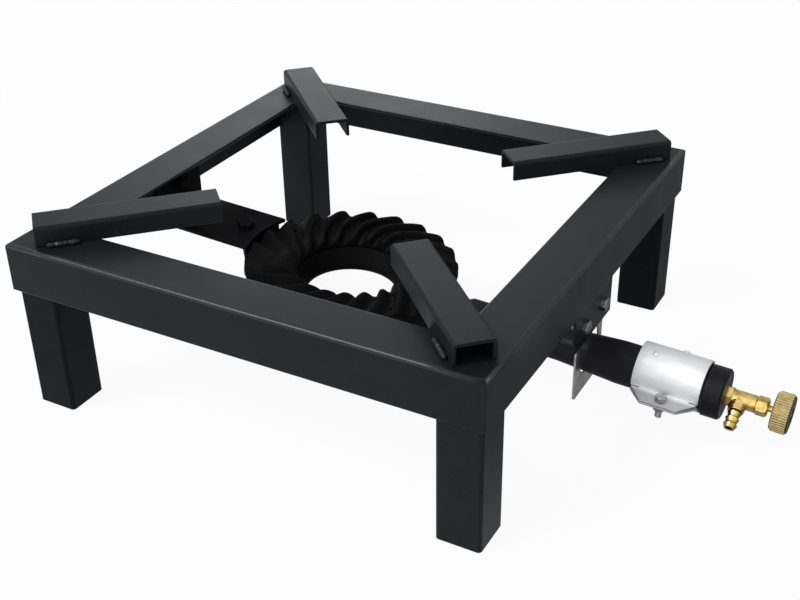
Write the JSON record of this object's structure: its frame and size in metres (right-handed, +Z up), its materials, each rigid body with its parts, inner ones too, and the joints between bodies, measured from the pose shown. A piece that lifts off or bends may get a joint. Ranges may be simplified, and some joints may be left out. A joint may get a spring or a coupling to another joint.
{
  "type": "gas burner stove",
  "caption": "Low square angle-iron stove stand with pan supports and a ridged cast ring burner, fed by a mixing tube with air shutter and brass needle valve.",
  "frame": {"origin": "on the floor, in the middle of the whole stove's footprint box, valve included", "axes": "+X along the mixing tube towards the valve, +Y to the rear, +Z up"},
  "size_m": [0.5584, 0.4, 0.159],
  "materials": {
    "black_paint": "satin black stove paint",
    "weld_metal": "painted weld beads",
    "cast_iron": "blackened sand casting",
    "galvanised": "galvanised sheet",
    "zinc_plate": "bright zinc plate",
    "aluminium": "mill-finish sheet",
    "black_enamel": "black enamel",
    "brass": "machined brass",
    "knob_brass": "dull knurled brass",
    "packing": "graphite packing"
  },
  "bodies": {
    "stand": {"bracket_bolts": "black_paint", "bracket_nuts": "black_paint", "burner_base": "cast_iron", "burner_crown": "cast_iron", "end_cap": "black_enamel", "front_left_leg": "black_paint", "front_left_pan_support": "black_paint", "front_rail": "black_paint", "front_right_leg": "black_paint", "front_right_pan_support": "black_paint", "gland_nut": "brass", "gland_packing": "packing", "hose_barb": "brass", "injector_jet": "brass", "left_bracket": "black_paint", "left_rail": "black_paint", "plate_bolts": "zinc_plate", "plate_nuts": "zinc_plate", "rear_left_leg": "black_paint", "rear_left_pan_support": "black_paint", "rear_rail": "black_paint", "rear_right_leg": "black_paint", "rear_right_pan_support": "black_paint", "right_hanger": "black_paint", "right_rail": "black_paint", "tube_plate": "galvanised", "valve_body": "brass", "weld_beads": "weld_metal"},
    "shutter": {"air_shutter": "aluminium", "clamp_bolt": "zinc_plate", "clamp_nut": "zinc_plate", "shutter_rivets": "aluminium"},
    "spindle": {"spindle": "brass"},
    "knob": {"knob": "knob_brass", "knob_screw": "zinc_plate"}
  },
  "joints": [
    {"name": "shutter_slide", "type": "slide", "parent": "stand", "child": "shutter", "axis": [-0.9986, 0, 0.0523], "range_m": [0, 0.015]},
    {"name": "spindle_travel", "type": "slide", "parent": "stand", "child": "spindle", "axis": [0.9986, 0, -0.0523], "range_m": [0, 0.0015]},
    {"name": "knob_turn", "type": "hinge", "parent": "spindle", "child": "knob", "pos_m": [0.27199, 0, 0.04101], "axis": [0.9986, 0, -0.0523], "range_deg": [0, 540]}
  ],
  "couplings": [
    {"joint": "spindle_travel", "follows": "knob_turn", "m_per_rad": 0.000159}
  ]
}
